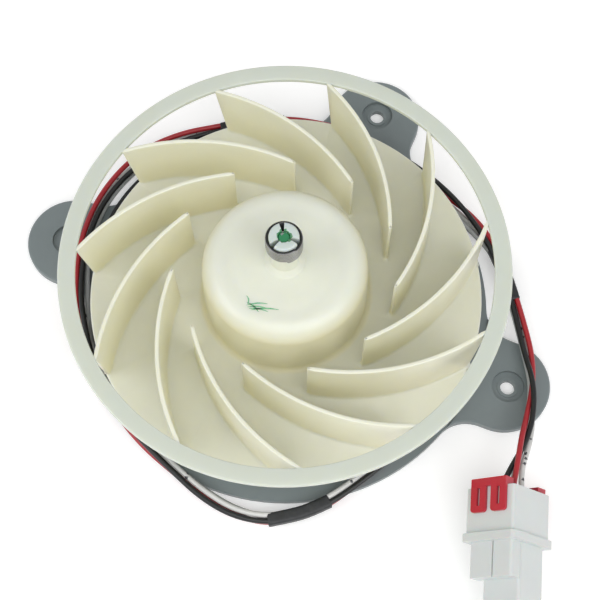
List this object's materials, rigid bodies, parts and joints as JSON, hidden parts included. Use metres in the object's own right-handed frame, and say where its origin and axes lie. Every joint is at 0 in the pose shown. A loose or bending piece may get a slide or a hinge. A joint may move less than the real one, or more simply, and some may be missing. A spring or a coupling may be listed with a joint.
{
  "type": "fan motor",
  "caption": "Small fan motor with a moulded centrifugal impeller clamped on its shaft, a three-eared mounting bracket and a four-wire lead with connector.",
  "frame": {"origin": "on the fan axis in the plane of the bracket's underside", "axes": "+Z along the fan axis from the bracket to the impeller, +X to the right ear's hole"},
  "size_m": [0.1777, 0.1472, 0.0518],
  "materials": {
    "impeller_plastic": "satin, translucent cream",
    "spring_steel": "satin",
    "shaft_steel": "ground",
    "brass_sleeve": "satin",
    "ferrite": "matte",
    "nylon": "matte",
    "zinc_plated_steel": "satin",
    "sintered_bronze": "matte",
    "lamination_steel": "matte",
    "copper_winding": "enamelled",
    "tinned_brass": "tinned",
    "board": "solder mask",
    "chip_black": "matte",
    "capacitor_sleeve": "gloss",
    "bracket_plastic": "matte grey",
    "grommet_rubber": "matte",
    "wire_red": "PVC",
    "wire_black": "PVC",
    "wire_white": "PVC with plain dark specks",
    "wire_grey": "PVC",
    "sleeve_black": "wrap",
    "connector_white": "nylon",
    "retainer_red": "nylon"
  },
  "bodies": {
    "motor": {"motor_can": "zinc_plated_steel", "upper_bearing": "sintered_bronze", "lower_bearing": "sintered_bronze", "bearing_retainer": "zinc_plated_steel", "stator_core": "lamination_steel", "upper_insulator": "nylon", "lower_insulator": "nylon", "stator_coils": "copper_winding", "winding_pins": "tinned_brass", "circuit_board": "board", "driver_chip": "chip_black", "hall_sensor": "chip_black", "smoothing_capacitor": "capacitor_sleeve", "mounting_bracket": "bracket_plastic", "rear_cover": "bracket_plastic", "cover_screws": "zinc_plated_steel", "thrust_pad": "nylon", "wire_grommet": "grommet_rubber", "wire_red": "wire_red", "wire_black": "wire_black", "wire_white": "wire_white", "wire_grey": "wire_grey", "lower_sleeve": "sleeve_black", "upper_sleeve": "sleeve_black", "end_sleeve": "sleeve_black", "connector_housing": "connector_white", "front_retainer": "retainer_red", "rear_retainer": "retainer_red", "terminals": "tinned_brass"},
    "rotor": {"impeller": "impeller_plastic", "spring_clip": "spring_steel", "motor_shaft": "shaft_steel", "shaft_clip": "spring_steel", "rotor_sleeve": "brass_sleeve", "rotor_magnet": "ferrite", "upper_washers": "nylon", "lower_washers": "nylon"}
  },
  "joints": [
    {"name": "rotor_spin", "type": "hinge", "parent": "motor", "child": "rotor", "pos_m": [0, 0, 0.02], "axis": [0, 0, 1], "continuous": true}
  ]
}
